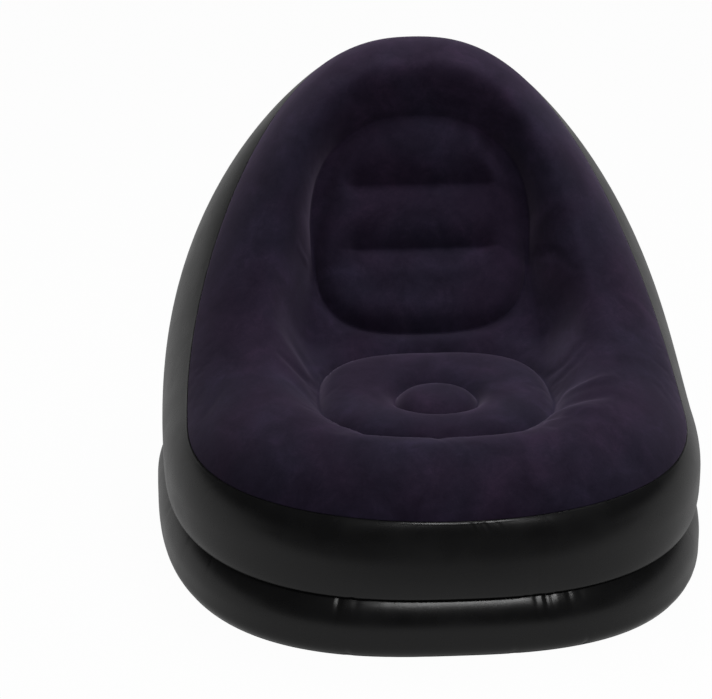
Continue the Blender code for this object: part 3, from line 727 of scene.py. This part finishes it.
def blowUp(piece, pinned):
    # Cloth under pressure, with a little spare sheet that gathers beside the welds
    group = piece.vertex_groups.new(name="welds")
    group.add(pinned, 1.0, "REPLACE")
    # the backrest is pulled taut, the seat and arms have spare sheet
    taut = piece.vertex_groups.new(name="taut")
    start, end = air["taut"]
    _, along, _ = planePlace(np.array([vertex.co for vertex in piece.data.vertices]))
    weights = smoothStep((along - start) / (end - start))
    for step, weight in enumerate(weights):
        taut.add([step], weight, "REPLACE")
    cloth = piece.modifiers.new("air", "CLOTH")
    settings = cloth.settings
    settings.vertex_group_mass = "welds"
    settings.quality = air["quality"]
    settings.mass = air["mass"]
    settings.tension_stiffness = air["stretch"]
    settings.compression_stiffness = air["stretch"]
    settings.shear_stiffness = air["shear"]
    settings.bending_stiffness = air["bend"]
    settings.shrink_min = -air["spare"]
    settings.shrink_max = 0
    settings.vertex_group_shrink = "taut"
    settings.use_pressure = True
    settings.uniform_pressure_force = air["pressure"]
    settings.effector_weights.gravity = 0
    cloth.point_cache.frame_end = air["frames"]
    rest = np.array([vertex.co for vertex in piece.data.vertices])
    scene = bpy.context.scene
    for step in range(1, air["frames"] + 1):
        scene.frame_set(step)
    blown = piece.evaluated_get(bpy.context.evaluated_depsgraph_get()).data
    moved = np.array([vertex.co for vertex in blown.vertices]) - rest
    far = lengths(moved)[:, None]
    print("air moved the sheet by up to", round(float(far.max()), 4), "metres")
    cap = air["cap"] * (1 - air["backShare"] * weights)[:, None]
    capped = moved * cap * np.tanh(far / cap) / np.maximum(far, 1e-9)
    piece.modifiers.clear()
    piece.vertex_groups.clear()
    piece.data.vertices.foreach_set("co", (rest + capped).ravel())
    piece.data.update()
    scene.frame_set(1)


def seamTuck(flat, level):
    # the edge welded at the seam, turned inward over the seam's plane
    inward = flat - [0, centre]
    reach = lengths(inward)[:, None]
    tucked = inward * (1 - sheets["weld"] / reach) + [0, centre]
    return fromPlane(tucked[:, 0], tucked[:, 1], level)


def makeTop(material):
    flat, faces, rim, rimIndex, pinned = topNet()
    points = topPoints(flat)
    order = [rimIndex[step] for step in range(len(rim))]
    points[order] = rim
    _, _, level = planePlace(rim)
    first = len(points)
    pinned += range(first, first + len(rim))
    points = np.concatenate([points, seamTuck(flat[order], level)])
    for step in range(len(rim)):
        after = (step + 1) % len(rim)
        faces.append((order[after], order[step], first + step, first + after))
    piece = addMesh("flockedTop", points, faces, material)
    joinTriangles(piece)
    blowUp(piece, pinned)
    finer = piece.modifiers.new("finer", "SUBSURF")
    finer.levels = 1
    finer.render_levels = 1
    thickness = piece.modifiers.new("sheet", "SOLIDIFY")
    thickness.thickness = sheets["flocked"]
    thickness.offset = -1
    applyModifiers(piece)
    return piece


# Side wall and base ring

wallForm = {
    "bulgeFront": 0.016,
    "bulgeSide": 0.028,
    "bulgeRear": 0.171,
    "girthShare": 0.45,
    "upperArcs": (math.radians(66), math.radians(66), math.radians(62)),  # front, side and rear
    "lowerPower": 3.0,
    "reachPowers": (8.0, 3.4, 3.4),  # the wall turns tightly over the waist's weld in front
    "around": 960,
    "rows": 56,
    "lip": 0.0002,
    "lipPlace": 0.0030,
    "lipWidth": 0.0010,
}

ringForm = {
    "rows": 36,
    "shoulderRadius": 0.085,
    "footRadius": 0.030,
    "bottomWeld": 0.0078,
    "bottomRows": (0.0048, 0.0056, 0.0062, 0.0068, 0.0074, 0.0080, 0.0087, 0.0096, 0.0108),
    "rowSpace": 0.0004,
    "ridge": 0.0010,
    "ridgeWidth": 0.0008,
    "groove": 0.0014,
    "grooveWidth": 0.0010,
    "grooveDrop": 0.0018,
}

ringLow = sheets["pvc"] + sheets["gap"]
ringHigh = baseForm["waistHeight"] - sheets["pvc"] / 2 - sheets["gap"]

# Puckers beside the welds: how many round the chair, how deep and how far they reach.
# Pulled ones are (share of the way round from the front, depth). Widths are shares as well.
puckers = {
    "leastWidth": 0.0010,
    "mostWidth": 0.0022,
    "pulledWidth": 0.0011,
    "seam": {
        "seed": 3,
        "count": 130,
        "depth": 0.0004,
        "reach": 0.011,
        "pulled": ((0.0105, 0.0008), (0.0150, 0.0005), (0.0185, 0.0009), (0.0265, 0.0006), (0.93, 0.0008)),
    },
    "waist": {
        "seed": 5,
        "count": 90,
        "depth": 0.0005,
        "reach": 0.010,
        "pulled": ((0.0320, 0.0018), (0.0365, 0.0028), (0.0392, 0.0024), (0.0478, 0.0012), (0.95, 0.002)),
    },
    "bottom": {
        "seed": 8,
        "count": 100,
        "depth": 0.0004,
        "reach": 0.006,
        "pulled": ((0.022, 0.0018), (0.056, 0.0022), (0.138, 0.0018), (0.955, 0.002)),
    },
}


def puckerDepths(name, count):
    # how deep the sheet is drawn in at each step round the chair
    form = puckers[name]
    chance = np.random.default_rng(form["seed"])
    places = list(chance.random(form["count"]))
    depths = list(form["depth"] * chance.uniform(0.1, 1.0, form["count"]) ** 2)
    widths = list(chance.uniform(puckers["leastWidth"], puckers["mostWidth"], form["count"]))
    for place, depth in form["pulled"]:
        places.append(place)
        depths.append(depth)
        widths.append(puckers["pulledWidth"])
    shares = (np.arange(count) + 0.5) / count
    total = np.zeros(count)
    for place, depth, width in zip(places, depths, widths):
        gap = np.abs((shares - place + 0.5) % 1 - 0.5)
        total += depth * np.exp(-((gap / width) ** 2))
    return total


def outwardFrom(points):
    # level directions away from the upright axis through the middle of the base
    return unit(points * [1, 1, 0] - [0, baseForm["widest"], 0])


def puckered(rows, edge, name):
    # draws the rows in beside a weld, less and less with the distance from it
    depths = puckerDepths(name, len(edge))
    result = []
    for row in rows:
        gap = lengths(row - edge) / puckers[name]["reach"]
        pull = depths * gap * np.exp(1 - gap)
        result.append(row - outwardFrom(row) * pull[:, None])
    return result


def wallPoints(angle, share):
    form = wallForm
    seam = seamPoints(angle) - seamNormal * sheets["gap"] / 2
    height = baseForm["waistHeight"] + sheets["pvc"] / 2 + sheets["gap"]
    waist = basePoints(angle, baseForm["waistInset"], height)
    middle = (seam + waist) / 2
    outward = outwardFrom(middle)
    bulge = blendRound(angle, form["bulgeFront"], form["bulgeSide"], form["bulgeRear"])
    girth = middle + outward * bulge[:, None]
    girth[:, 2] = waist[:, 2] + (seam[:, 2] - waist[:, 2]) * form["girthShare"]
    if share < form["girthShare"]:
        climb = 1 - math.cos(share / form["girthShare"] * math.pi / 2)
        reach = (1 - (1 - climb) ** form["lowerPower"]) ** (1 / blendRound(angle, *form["reachPowers"]))
        points = waist + (girth - waist) * reach[:, None]
        points[:, 2] = waist[:, 2] + (girth[:, 2] - waist[:, 2]) * climb
        return points
    whole = blendRound(angle, *form["upperArcs"])
    turn = (share - form["girthShare"]) / (1 - form["girthShare"]) * whole
    reach = (np.cos(turn) - np.cos(whole)) / (1 - np.cos(whole))
    points = seam + (girth - seam) * reach[:, None]
    climb = np.sin(turn) / np.sin(whole)
    points[:, 2] = girth[:, 2] + (seam[:, 2] - girth[:, 2]) * climb
    gap = lengths(points - seam)
    lip = form["lip"] * np.exp(-(((gap - form["lipPlace"]) / form["lipWidth"]) ** 2))
    return points + outward * lip[:, None]


def ringPoints(angle, height):
    # a round foot and a round shoulder that meets the waist's weld at a slant
    form = ringForm
    inset = 0
    for radius, deepest, past in (
        (form["footRadius"], baseForm["bottomInset"], ringLow - height),
        (form["shoulderRadius"], baseForm["waistInset"], height - ringHigh),
    ):
        rise = past + math.sqrt(radius**2 - (radius - deepest) ** 2)
        if rise > 0:
            inset += radius - math.sqrt(radius**2 - rise**2)
    above = height - form["bottomWeld"]
    ridge = form["ridge"] * math.exp(-((above / form["ridgeWidth"]) ** 2))
    groove = form["groove"] * math.exp(-(((above + form["grooveDrop"]) / form["grooveWidth"]) ** 2))
    return basePoints(angle, inset - ridge + groove, height)


def levelTuck(points):
    # the edge welded at the waist or at the bottom, turned inward
    return points - outwardFrom(points) * sheets["weld"]


def bandFaces(rows, around):
    faces = []
    for row in range(rows - 1):
        low, high = row * around, (row + 1) * around
        for step in range(around):
            after = (step + 1) % around
            faces.append((low + step, low + after, high + after, high + step))
    return faces


# The valve's stiff flange holds the wall flat round it
valvePlace = {
    "centre": (0.0, 0.570879, 0.408079),
    "flat": 0.036,
    "blend": 0.075,
    "hole": 0.020,
}


def flattened(points):
    # no further back than the valve's plane beside it, and blended into the wall's own curve
    centreX, plane, centreZ = valvePlace["centre"]
    gap = np.hypot(points[:, 0] - centreX, points[:, 2] - centreZ)
    near = (gap < valvePlace["flat"] + valvePlace["blend"]) & (points[:, 1] > 0)
    keep = smoothStep((gap - valvePlace["flat"]) / valvePlace["blend"])
    level = plane + (points[:, 1] - plane) * keep
    result = points.copy()
    result[near, 1] = level[near]
    return result


def cutHole(points, faces):
    # leaves out the faces round the valve's neck and draws the rim of the hole into a circle
    centreX, plane, centreZ = valvePlace["centre"]
    gap = np.hypot(points[:, 0] - centreX, points[:, 2] - centreZ)
    inHole = (gap < valvePlace["hole"]) & (points[:, 1] > 0)
    cut = [inHole[list(face)].any() for face in faces]
    kept = [face for face, lost in zip(faces, cut) if not lost]
    rim = {corner for face, lost in zip(faces, cut) if lost for corner in face if not inHole[corner]}
    for corner in rim:
        share = valvePlace["hole"] / gap[corner]
        points[corner] = (
            centreX + (points[corner, 0] - centreX) * share,
            plane,
            centreZ + (points[corner, 2] - centreZ) * share,
        )
    used = sorted({corner for face in kept for corner in face})
    place = {corner: step for step, corner in enumerate(used)}
    return points[used], [tuple(place[corner] for corner in face) for face in kept]


def makeWall(material):
    angle = evenAngles(wallForm["around"])
    shares = (1 - np.cos(np.linspace(0, math.pi, wallForm["rows"]))) / 2
    rows = [flattened(wallPoints(angle, share)) for share in shares]
    half = len(rows) // 2
    rows = puckered(rows[:half], rows[0], "waist") + puckered(rows[half:], rows[-1], "seam")
    across, along, level = planePlace(rows[-1])
    tuck = seamTuck(np.stack([across, along], -1), level)
    rows = [levelTuck(rows[0]), *rows, tuck]
    points, faces = cutHole(np.concatenate(rows), bandFaces(len(rows), len(angle)))
    return addMesh("sideWall", points, faces, material)


def makeRing(material):
    angle = evenAngles(wallForm["around"])
    turns = np.linspace(0, math.pi, ringForm["rows"])
    weldRows = ringForm["bottomRows"]
    first, last = weldRows[0] - ringForm["rowSpace"], weldRows[-1] + ringForm["rowSpace"]
    heights = [ringLow + (ringHigh - ringLow) * (1 - math.cos(turn)) / 2 for turn in turns]
    heights = [height for height in heights if not first < height < last]
    rows = [ringPoints(angle, height) for height in sorted([*heights, *weldRows])]
    weld = ringPoints(angle, ringForm["bottomWeld"])
    half = len(rows) // 2
    rows = puckered(rows[:half], weld, "bottom") + puckered(rows[half:], rows[-1], "waist")
    rows = [levelTuck(rows[0]), *rows, levelTuck(rows[-1])]
    return addMesh("baseRing", np.concatenate(rows), bandFaces(len(rows), len(angle)), material)


filmMaterial = pvcFinish("calenderedPvc", film)

top = makeTop(flockedPvc())
print("flocked top", len(top.data.vertices))
wall = makeWall(filmMaterial)
ring = makeRing(filmMaterial)
print("wall and ring", len(wall.data.vertices), len(ring.data.vertices))

for piece, node, slot in (
    (top, "flocked_top_skin", "flocked_pvc"),
    (wall, "side_wall_skin", "black_pvc"),
    (ring, "base_ring_skin", "black_pvc"),
):
    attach(piece, "chair")
    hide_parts(node)


# Valve: turned pieces about an axis that points straight back, in metres behind the wall's face

# Injection moulded soft PVC: smooth, with a fine spark-eroded grain on its faces
moulded = {
    "shader": {"IOR": 1.53, "Roughness": 0.38},
    "shades": ((0.4, "#19191a"), (0.65, "#202021")),
    "haze": 0.5 * millimetre,
    "detail": 2.0,
    "relief": {"size": 0.5 * millimetre, "detail": 2.0, "strength": 0.12, "height": 0.1 * millimetre},
}

# Unpigmented soft PVC of the flap: milky, light passes a little way into it
milky = {
    "shader": {"IOR": 1.53, "Roughness": 0.45, "Subsurface Weight": 0.3, "Subsurface Scale": 0.002},
    "shades": ((0.35, "#939797"), (0.65, "#a2a5a5")),
    "haze": 3 * millimetre,
    "detail": 2.0,
}

valve = {
    "steps": 96,
    "patchRadius": 0.033,
    "patchSheet": 0.0008,
    "patchRing": 0.0295,
    "patchRingHalf": 0.0008,
    "patchRingDepth": 0.00025,
    "neckRadius": 0.014,
    "neckWall": 0.003,
    "neckProud": 0.0032,
    "neckDepth": 0.009,
    "flangeRadius": 0.024,
    "flangeSheet": 0.0014,
    "headRadius": 0.0155,
    "head": 0.0016,
    "stopperDepth": 0.0115,
    "stopperTaper": 0.0006,
    "portRadius": 0.005,
    "rimRadius": 0.0068,
    "rimHeight": 0.0012,
    "capRadius": 0.0082,
    "capSheet": 0.0014,
    "capDome": 0.0005,
    "plugDepth": 0.004,
    "plugTaper": 0.0006,
    "strapWidth": 0.005,
    "strapLength": 0.004,
    "strapSheet": 0.0008,
    "lugLength": 0.003,
    "flapRadius": 0.0078,
    "flapSheet": 0.0008,
    "overlap": 0.0004,
    # how round the edges are: at most this far from a corner, and this share of a side
    "fillets": {
        "valvePatch": 0.00035,
        "valveSeat": 0.0005,
        "valveStopper": 0.0004,
        "strapLug": 0.0003,
        "valveCap": 0.0005,
        "capStrap": 0.0002,
        "valveFlap": 0.0002,
    },
    "filletShare": 0.45,
    "filletPoints": 5,
    "blockSegments": 3,
}


def filleted(profile, radius, closed):
    # a profile with each corner turned into a short curve
    rounded = []
    count = len(profile)
    for step, corner in enumerate(profile):
        if not closed and step in (0, count - 1):
            rounded.append(corner)
            continue
        corner = np.array(corner)
        ends = []
        for other in (profile[step - 1], profile[(step + 1) % count]):
            run = np.array(other) - corner
            length = np.linalg.norm(run)
            ends.append(corner + run / length * min(radius, length * valve["filletShare"]))
        for share in np.linspace(0, 1, valve["filletPoints"]):
            point = ends[0] * (1 - share) ** 2 + 2 * corner * share * (1 - share) + ends[1] * share**2
            rounded.append(tuple(point))
    return rounded


def makeTurned(name, profile, material):
    # (radius, distance behind the wall) turned about the valve's axis; one that starts on it is open
    closed = profile[0][0] > 0
    profile = filleted(profile, valve["fillets"][name], closed)
    count, steps = len(profile), valve["steps"]
    points, faces = [], []
    centreX, plane, centreZ = valvePlace["centre"]
    for step in range(steps):
        turn = step / steps * 2 * math.pi
        for reach, out in profile:
            across, up = reach * math.cos(turn), reach * math.sin(turn)
            points.append((centreX + across, plane + out, centreZ + up))
    for step in range(steps):
        low, high = step * count, (step + 1) % steps * count
        for knot in range(count if closed else count - 1):
            following = (knot + 1) % count
            faces.append((low + knot, low + following, high + following, high + knot))
    piece = addMesh(name, points, faces, material)
    cleanMesh(piece)
    return piece


def cleanMesh(piece):
    work = bmesh.new()
    work.from_mesh(piece.data)
    bmesh.ops.remove_doubles(work, verts=work.verts, dist=1e-6)
    bmesh.ops.recalc_face_normals(work, faces=work.faces)
    work.to_mesh(piece.data)
    work.free()
    piece.data.shade_smooth()


def makeBlock(name, size, middle, material):
    # a small moulded block with round edges; middle is measured from the valve's centre
    work = bmesh.new()
    bmesh.ops.create_cube(work, size=1)
    bmesh.ops.scale(work, vec=size, verts=work.verts)
    bmesh.ops.translate(work, vec=Vector(valvePlace["centre"]) + Vector(middle), verts=work.verts)
    bmesh.ops.bevel(
        work,
        geom=work.edges,
        offset=valve["fillets"][name],
        segments=valve["blockSegments"],
        profile=0.5,
        affect="EDGES",
    )
    piece = addMesh(name, [], [], material)
    work.to_mesh(piece.data)
    work.free()
    piece.data.shade_smooth()
    return piece


def makeValve(soft, clear):
    v = SimpleNamespace(**valve)
    gap = sheets["gap"]
    face = v.patchSheet + gap
    bore = v.neckRadius - v.neckWall
    inner = -sheets["pvc"] - gap
    body = bore - gap
    seat = v.neckProud + gap
    head = seat + v.head
    rim = head + v.rimHeight
    plug = v.portRadius - gap
    low = rim + gap
    dome = low + v.capSheet + v.capDome
    under = -v.stopperDepth - gap
    turned = {
        "valvePatch": [
            (v.neckRadius + gap, face),
            (v.patchRing - v.patchRingHalf, face),
            (v.patchRing, face - v.patchRingDepth),
            (v.patchRing + v.patchRingHalf, face),
            (v.patchRadius, face),
            (v.patchRadius, gap),
            (v.neckRadius + gap, gap),
        ],
        "valveSeat": [
            (bore, v.neckProud),
            (v.neckRadius, v.neckProud),
            (v.neckRadius, inner),
            (v.flangeRadius, inner),
            (v.flangeRadius, inner - v.flangeSheet),
            (v.neckRadius, inner - v.flangeSheet),
            (v.neckRadius, -v.neckDepth),
            (bore, -v.neckDepth),
        ],
        "valveStopper": [
            (v.portRadius, rim),
            (v.rimRadius, rim),
            (v.rimRadius, head),
            (v.headRadius, head),
            (v.headRadius, seat),
            (body, seat),
            (body, -v.neckDepth),
            (body - v.stopperTaper, -v.stopperDepth),
            (v.portRadius, -v.stopperDepth),
        ],
        "valveCap": [
            (0, dome),
            (v.capRadius / 2, dome),
            (v.capRadius, low + v.capSheet),
            (v.capRadius, low),
            (plug, low),
            (plug - v.plugTaper, low - v.plugDepth),
            (0, low - v.plugDepth),
        ],
        "valveFlap": [
            (0, under),
            (v.flapRadius, under),
            (v.flapRadius, under - v.flapSheet),
            (0, under - v.flapSheet),
        ],
    }
    height = low - head
    length = v.strapLength + v.overlap
    blocks = {
        "strapLug": (
            (v.strapWidth, height + v.overlap, v.lugLength),
            (0, head + (height - v.overlap) / 2, v.capRadius + v.strapLength),
        ),
        "capStrap": (
            (v.strapWidth, v.strapSheet, length),
            (0, low + gap + v.strapSheet / 2, v.capRadius - v.overlap + length / 2),
        ),
    }
    for name, material, body, slot, nodes in (
        ("valvePatch", soft, "chair", "black_pvc", ["valve_patch"]),
        ("valveSeat", soft, "chair", "moulded_pvc", ["valve_seat"]),
        ("valveStopper", soft, "stopper", "moulded_pvc", ["valve_stopper"]),
        ("strapLug", soft, "stopper", "moulded_pvc", []),
        ("valveCap", soft, "cap", "moulded_pvc", ["valve_cap"]),
        ("capStrap", soft, "cap", "moulded_pvc", []),
        ("valveFlap", clear, "flap", "flap_pvc", ["valve_flap"]),
    ):
        if name in turned:
            piece = makeTurned(name, turned[name], material)
        else:
            piece = makeBlock(name, *blocks[name], material)
        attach(piece, body)
        if nodes:
            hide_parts(*nodes)


makeValve(pvcFinish("mouldedPvc", moulded), pvcFinish("milkyPvc", milky))
print("valve ready")


# Uncoated PVC film of the sheets inside: as rolled, matt and a little cloudy
innerFilm = {
    "shader": {"IOR": 1.53, "Roughness": 0.55},
    "shades": ((0.35, "#3a3a3d"), (0.65, "#454549")),
    "haze": 40 * millimetre,
    "detail": 3.0,
}


def dressInside():
    # the hidden sheets keep their solids and get the film's own finish
    inner = pvcFinish("innerPvcFilm", innerFilm)
    for name in (
        "bottom_sheet",
        "waist_diaphragm",
        "seat_loop_beam",
        "seat_centre_beam",
        "backrest_loop_beam",
        "backrest_rib_beam_lower",
        "backrest_rib_beam_upper",
    ):
        for slot in bpy.data.objects[name].material_slots:
            slot.material = filmMaterial if name == "bottom_sheet" else inner


dressInside()
print("inner sheets dressed")


# Floor, world and lamps: a pale sweep behind and beside the chair, a dark room behind the camera

studio = {
    "floorRadius": 14.0,
    "floorCorners": 64,
    "floorColour": "#8c8c8c",
    "floorGlow": 0.93,
    "glow": 1.05,
    "ambient": 0.08,
    "sweep": 0.36,
    "sweepBack": (-0.75, 0.1),
    "sweepTop": (-0.02, 0.24),
    "sweepFront": (-1.15, -0.75),
    "sweepFrontShare": 0.25,
    "darkRoom": 0.04,
    "lamps": (
        ("overhead", (0.4, 0.52, 2.7), (2.4, 1.4), 46.0),
        ("front", (0.42, -2.65, 2.3), (1.7, 0.42), 23.0),
    ),
    "aim": (0.0, 0.0, 0.35),
}


def seenRays(tree):
    # 1 for rays that show the background: to the camera, in gloss and through clear plastic
    path = addNode(tree, "ShaderNodeLightPath")
    seen = path["Is Camera Ray"]
    for name in ("Is Glossy Ray", "Is Transmission Ray"):
        seen = addNode(tree, "ShaderNodeMath", {"operation": "MAXIMUM"}, {0: seen, 1: path[name]})[0]
    return seen


def paintedSweepGlow(tree, level):
    # the floor's glow is painted light: the chair mirrors it dimmer than the camera sees it,
    # and dimmest in front, where the floor runs into the dark room
    place = addNode(tree, "ShaderNodeTexCoord")["Object"]
    along = addNode(tree, "ShaderNodeSeparateXYZ", None, {0: place})[1]
    far, near = studio["sweepFront"]
    mirrored = studio["sweep"] * level
    settings = {1: far, 2: near, 3: mirrored * studio["sweepFrontShare"], 4: mirrored}
    settings["interpolation_type"] = "SMOOTHSTEP"
    front = addNode(tree, "ShaderNodeMapRange", settings, {0: along})[0]
    camera = addNode(tree, "ShaderNodeLightPath")["Is Camera Ray"]
    return addNode(tree, "ShaderNodeMapRange", {4: level}, {0: camera, 3: front})[0]


def makeFloor():
    count, radius = studio["floorCorners"], studio["floorRadius"]
    turns = [step / count * 2 * math.pi for step in range(count)]
    points = [(math.cos(turn) * radius, math.sin(turn) * radius, 0.0) for turn in turns]
    values = {"Base Color": linear(studio["floorColour"]), "Roughness": 0.8, "Specular IOR Level": 0.0}
    material, tree, shader = newMaterial("paintedFloor", values)
    # painted glow of the floor, as the camera and the chair's gloss see it
    strength = paintedSweepGlow(tree, studio["glow"])
    glow = addNode(tree, "ShaderNodeEmission", None, {"Strength": strength})[0]
    settings = {"operation": "MULTIPLY", 1: studio["floorGlow"]}
    seen = addNode(tree, "ShaderNodeMath", settings, {0: seenRays(tree)})[0]
    mixed = addNode(tree, "ShaderNodeMixShader", None, {0: seen, 1: shader.outputs[0], 2: glow})[0]
    tree.links.new(mixed, tree.nodes["Material Output"].inputs["Surface"])
    addMesh("floor", points, [tuple(range(count))], material)


def makeWorld():
    world = bpy.data.worlds.new("studio")
    bpy.context.scene.world = world
    world.use_nodes = True
    tree = world.node_tree
    background = tree.nodes["Background"]
    background.inputs["Color"].default_value = (1, 1, 1, 1)
    direction = addNode(tree, "ShaderNodeTexCoord")["Generated"]
    _, along, up = addNode(tree, "ShaderNodeSeparateXYZ", None, {0: direction})
    kind = {"interpolation_type": "SMOOTHSTEP"}
    back, front = studio["sweepBack"]
    settings = {**kind, 1: back, 2: front, 3: studio["darkRoom"], 4: studio["sweep"]}
    sweep = addNode(tree, "ShaderNodeMapRange", settings, {0: along})[0]
    bottom, top = studio["sweepTop"]
    settings = {**kind, 1: bottom, 2: top, 4: studio["darkRoom"]}
    height = addNode(tree, "ShaderNodeMapRange", settings, {0: up, 3: sweep})[0]
    camera = addNode(tree, "ShaderNodeLightPath")["Is Camera Ray"]
    shown = addNode(tree, "ShaderNodeMath", {"operation": "MAXIMUM"}, {0: height, 1: camera})[0]
    links = {0: seenRays(tree), 4: shown}
    strength = addNode(tree, "ShaderNodeMapRange", {3: studio["ambient"]}, links)[0]
    tree.links.new(strength, background.inputs["Strength"])


def makeLamps():
    for name, place, size, power in studio["lamps"]:
        lamp = bpy.data.lights.new(name, "AREA")
        lamp.shape = "RECTANGLE"
        lamp.size, lamp.size_y = size
        lamp.energy = power
        addAimed(name, lamp, place, Vector(studio["aim"]) - Vector(place))


makeFloor()
makeWorld()
makeLamps()
bpy.context.scene.view_settings.view_transform = "Standard"
print("studio ready")
